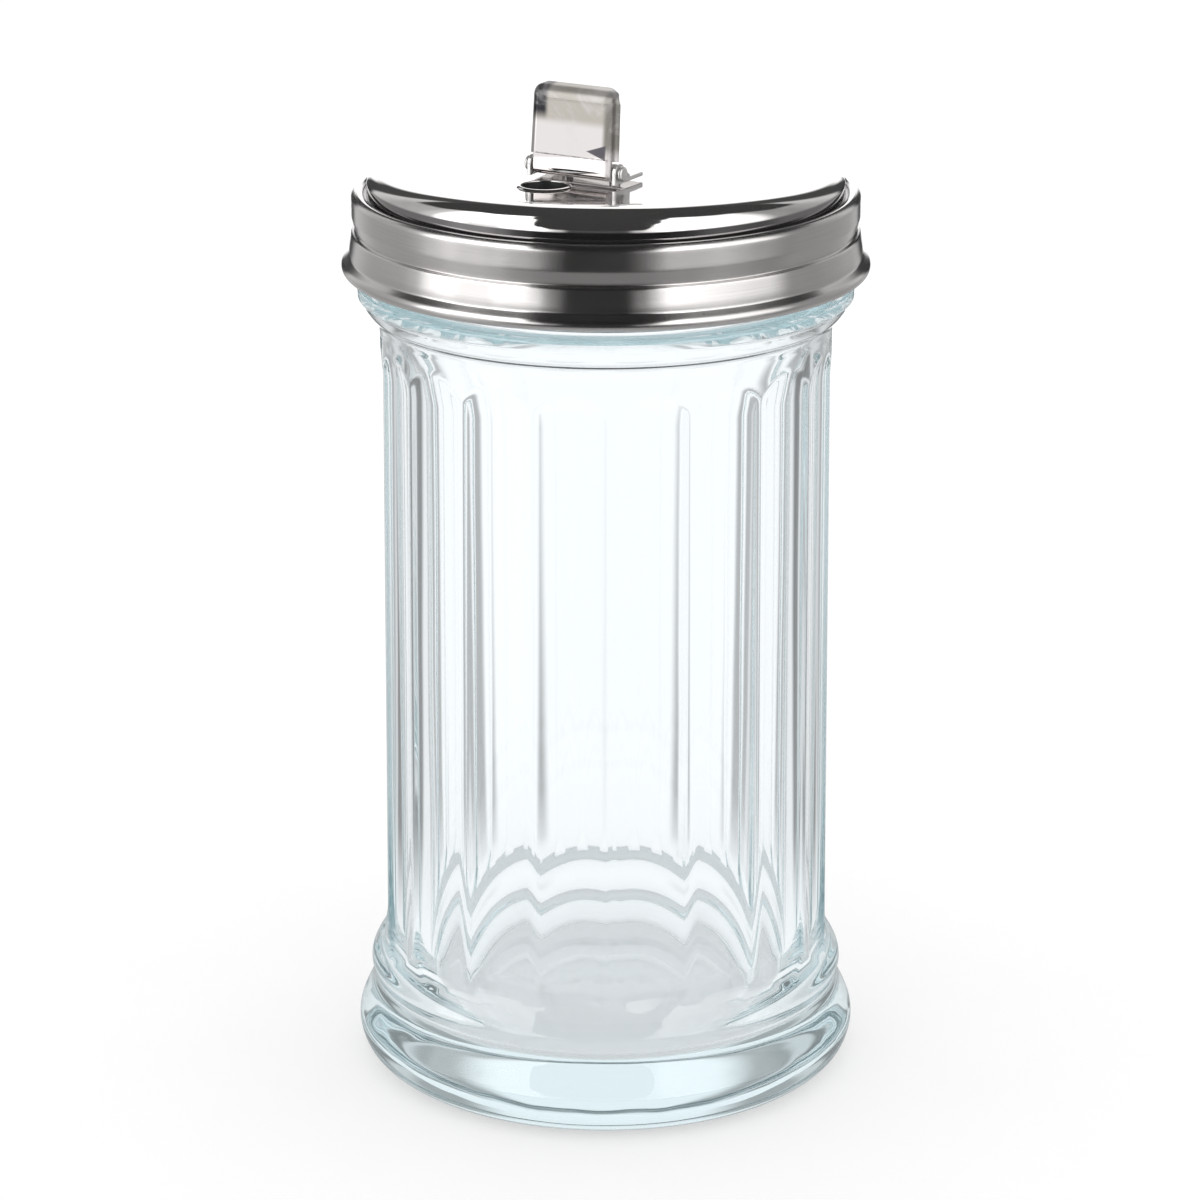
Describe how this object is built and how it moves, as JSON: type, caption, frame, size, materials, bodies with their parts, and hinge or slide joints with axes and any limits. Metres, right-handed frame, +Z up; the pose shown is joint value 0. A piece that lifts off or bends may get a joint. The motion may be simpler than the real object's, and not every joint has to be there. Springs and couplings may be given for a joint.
{
  "type": "sugar dispenser",
  "caption": "Fluted clear glass sugar dispenser with a steel screw cap, a small pour hole and a hinged flap standing open.",
  "frame": {"origin": "middle of the circle that the jar stands on, at the level of its base", "axes": "+Z up along the jar, -Y towards the viewer of the picture, +X to the viewer's right"},
  "size_m": [0.076, 0.076, 0.147],
  "materials": {
    "clear_glass": "clear, polished",
    "stainless_steel": "brushed round the bands, polished on top",
    "polished_steel": "polished",
    "white_plastic": "satin",
    "clear_seal": "matte"
  },
  "bodies": {
    "jar": {"glass_jar": "clear_glass"},
    "seal": {"seal_ring": "clear_seal"},
    "cap": {"cap_shell": "stainless_steel", "thread_ring": "white_plastic", "hinge_bracket": "polished_steel", "bracket_rivet_left": "polished_steel", "bracket_rivet_right": "polished_steel", "hinge_pin": "polished_steel"},
    "flap": {"flap": "polished_steel"}
  },
  "joints": [
    {"name": "cap_lift", "type": "slide", "parent": "jar", "child": "seal", "axis": [0, 0, 1], "range_m": [0, 0.014]},
    {"name": "cap_turn", "type": "hinge", "parent": "seal", "child": "cap", "pos_m": [0, 0, 0.12], "axis": [0, 0, 1], "range_deg": [0, 1008.5]},
    {"name": "flap_swing", "type": "hinge", "parent": "cap", "child": "flap", "pos_m": [-0.0043, -0.0015, 0.13531], "axis": [0.866, -0.5, 0], "range_deg": [0, 93]}
  ],
  "couplings": [
    {"joint": "cap_turn", "follows": "cap_lift", "rad_per_m": 1256.6}
  ]
}
